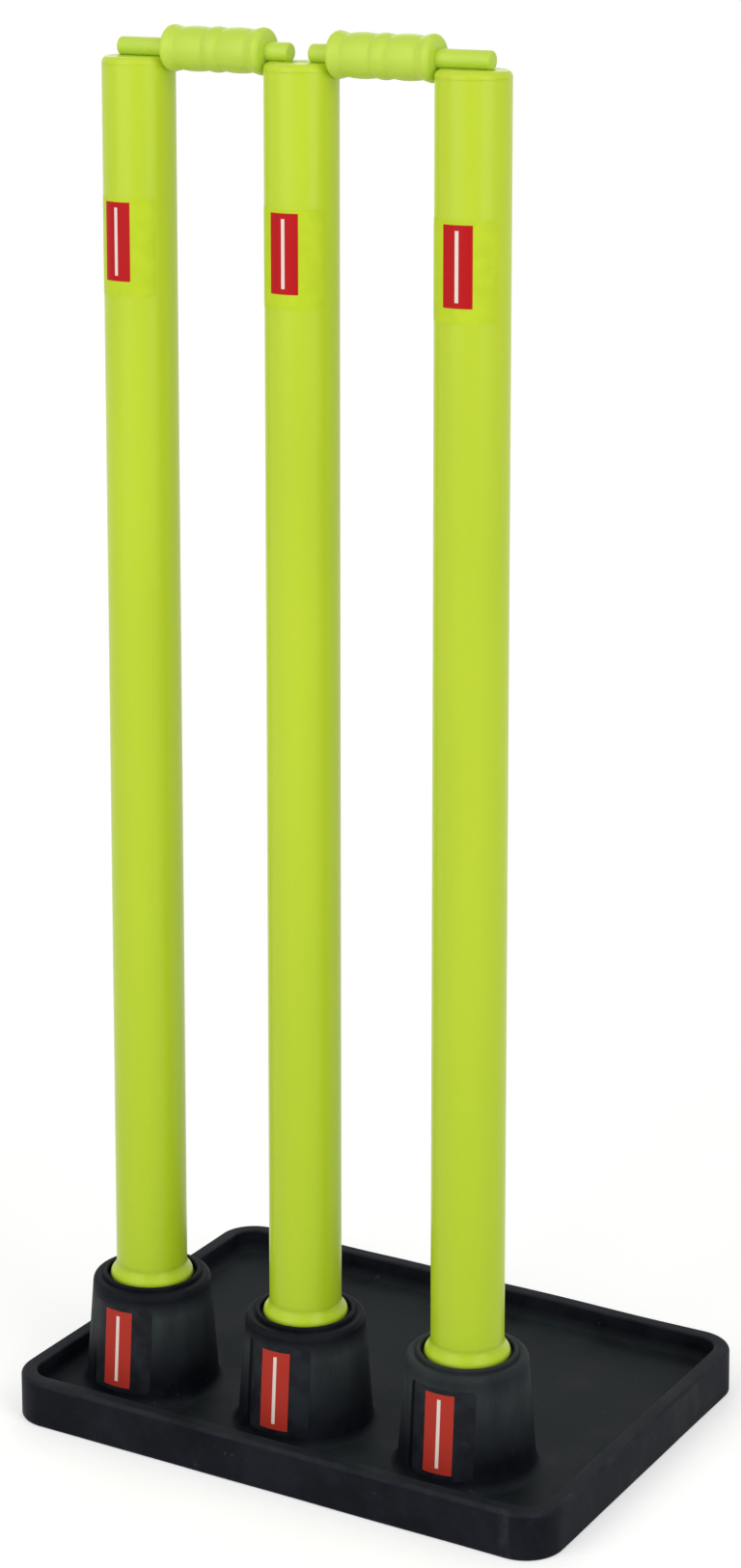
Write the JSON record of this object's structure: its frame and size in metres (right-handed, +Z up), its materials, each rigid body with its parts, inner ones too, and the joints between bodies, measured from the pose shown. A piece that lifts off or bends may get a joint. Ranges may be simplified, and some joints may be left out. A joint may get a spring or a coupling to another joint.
{
  "type": "free-standing cricket stumps",
  "caption": "Hollow plastic cricket stumps held upright in the sockets of a heavy rubber tray base, with turned bails lying across their grooved tops.",
  "frame": {"origin": "centre of the base's underside, at ground level", "axes": "+Z up; +X along the row of stumps, from the left stump to the right one; +Y from the row towards the wide empty part of the tray, so the stumps stand near the -Y edge"},
  "size_m": [0.316, 0.232, 0.7272],
  "materials": {
    "base_rubber": "matt black moulded rubber, faintly textured",
    "stump_plastic": "satin fluorescent yellow plastic",
    "bail_plastic": "satin fluorescent yellow plastic",
    "label_film": "glossy printed film"
  },
  "bodies": {
    "base": {"rubber_base": "base_rubber", "left_socket_label": "label_film", "middle_socket_label": "label_film", "right_socket_label": "label_film"},
    "stump_left": {"left_stump_tube": "stump_plastic", "left_stump_cap": "stump_plastic", "left_stump_foot": "stump_plastic", "left_stump_label": "label_film"},
    "stump_middle": {"middle_stump_tube": "stump_plastic", "middle_stump_cap": "stump_plastic", "middle_stump_foot": "stump_plastic", "middle_stump_label": "label_film"},
    "stump_right": {"right_stump_tube": "stump_plastic", "right_stump_cap": "stump_plastic", "right_stump_foot": "stump_plastic", "right_stump_label": "label_film"},
    "bail_left": {"left_bail": "bail_plastic"},
    "bail_right": {"right_bail": "bail_plastic"}
  },
  "joints": [
    {"name": "middle_stump_pull", "type": "slide", "parent": "base", "child": "stump_middle", "axis": [0, 0, 1], "range_m": [0, 0.12]},
    {"name": "left_stump_pull", "type": "slide", "parent": "base", "child": "stump_left", "axis": [0, 0, 1], "range_m": [0, 0.12]},
    {"name": "right_stump_pull", "type": "slide", "parent": "base", "child": "stump_right", "axis": [0, 0, 1], "range_m": [0, 0.12]},
    {"name": "left_bail_lift", "type": "slide", "parent": "stump_left", "child": "bail_left", "axis": [0, 0, 1], "range_m": [0, 0.06]},
    {"name": "right_bail_lift", "type": "slide", "parent": "stump_right", "child": "bail_right", "axis": [0, 0, 1], "range_m": [0, 0.06]}
  ],
  "couplings": [
    {"joint": "left_stump_pull", "follows": "middle_stump_pull", "ratio": 1},
    {"joint": "right_stump_pull", "follows": "middle_stump_pull", "ratio": 1}
  ]
}
